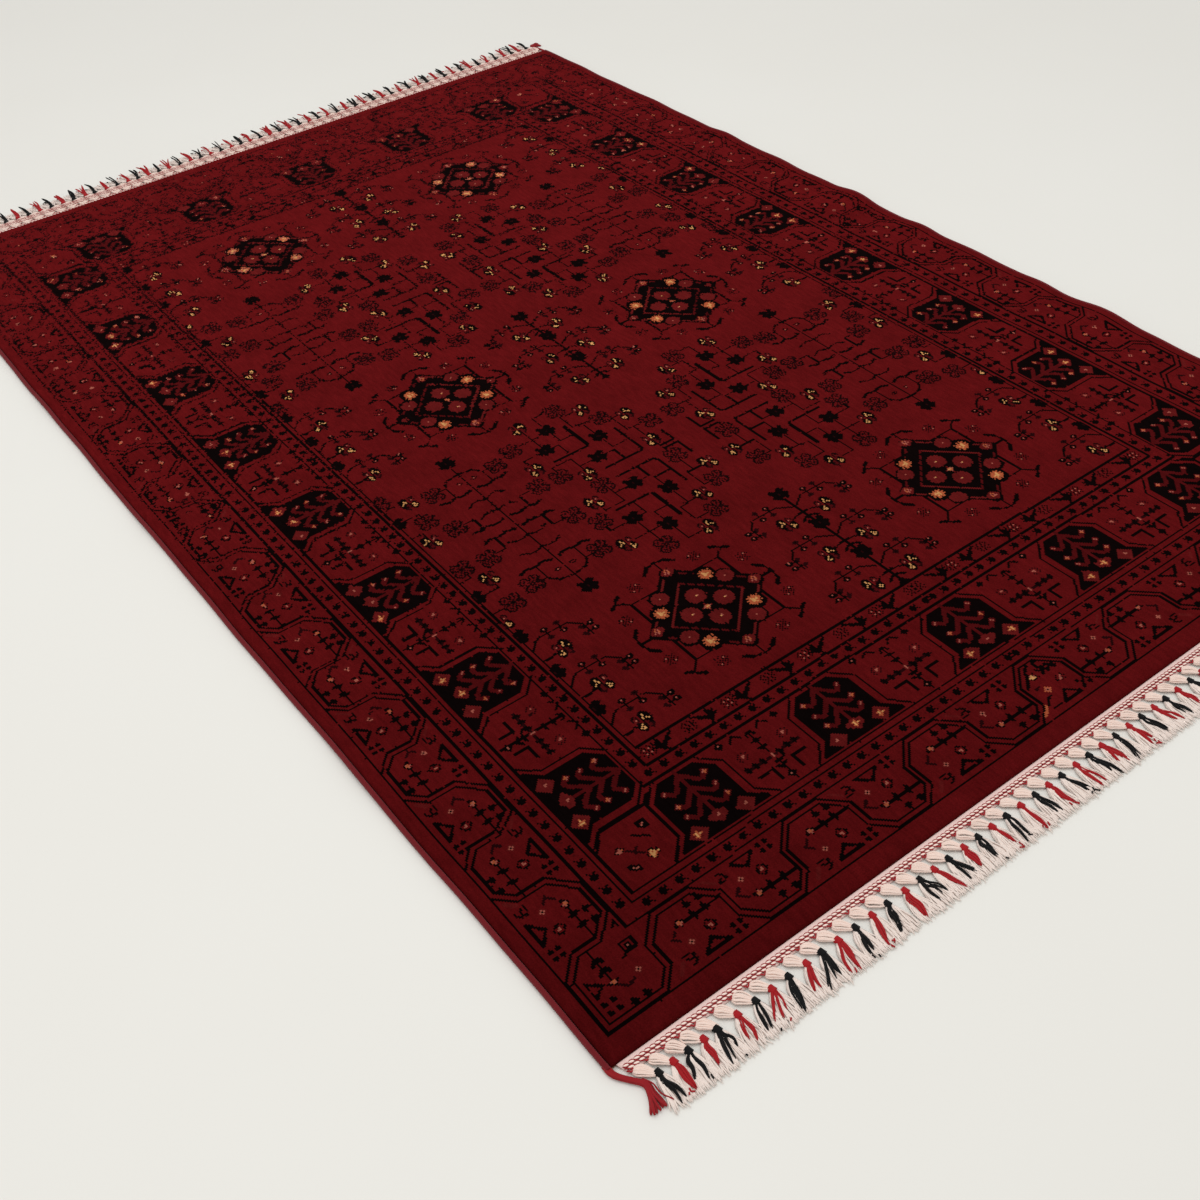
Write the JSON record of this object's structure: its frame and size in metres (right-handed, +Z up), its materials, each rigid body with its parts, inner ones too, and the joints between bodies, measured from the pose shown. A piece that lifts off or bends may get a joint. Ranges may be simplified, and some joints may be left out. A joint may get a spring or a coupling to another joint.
{
  "type": "machine-made rug",
  "caption": "Flat oblong cut-pile rug in a traditional bordered medallion pattern, with overcast long edges and a tasselled cotton fringe at each end.",
  "frame": {"origin": "centre of the rug's footprint on the floor, at the flat underside", "axes": "+X across the rug towards the right-hand long edge, +Y along the rug from the near fringe to the far fringe, +Z up, out of the pile"},
  "size_m": [1.619, 2.5256, 0.0169],
  "materials": {
    "pile": "cut wool pile, matt with a soft nap sheen",
    "overcast_cord": "matt wool yarn, wound close",
    "fringe_cotton": "matt twisted cotton yarn",
    "tie_black": "matt cotton yarn",
    "tie_red": "matt cotton yarn"
  },
  "bodies": {
    "root": {"pile_cloth": "pile", "side_cord_left": "overcast_cord", "side_cord_right": "overcast_cord", "fringe_near": "fringe_cotton", "fringe_far": "fringe_cotton"}
  },
  "joints": []
}
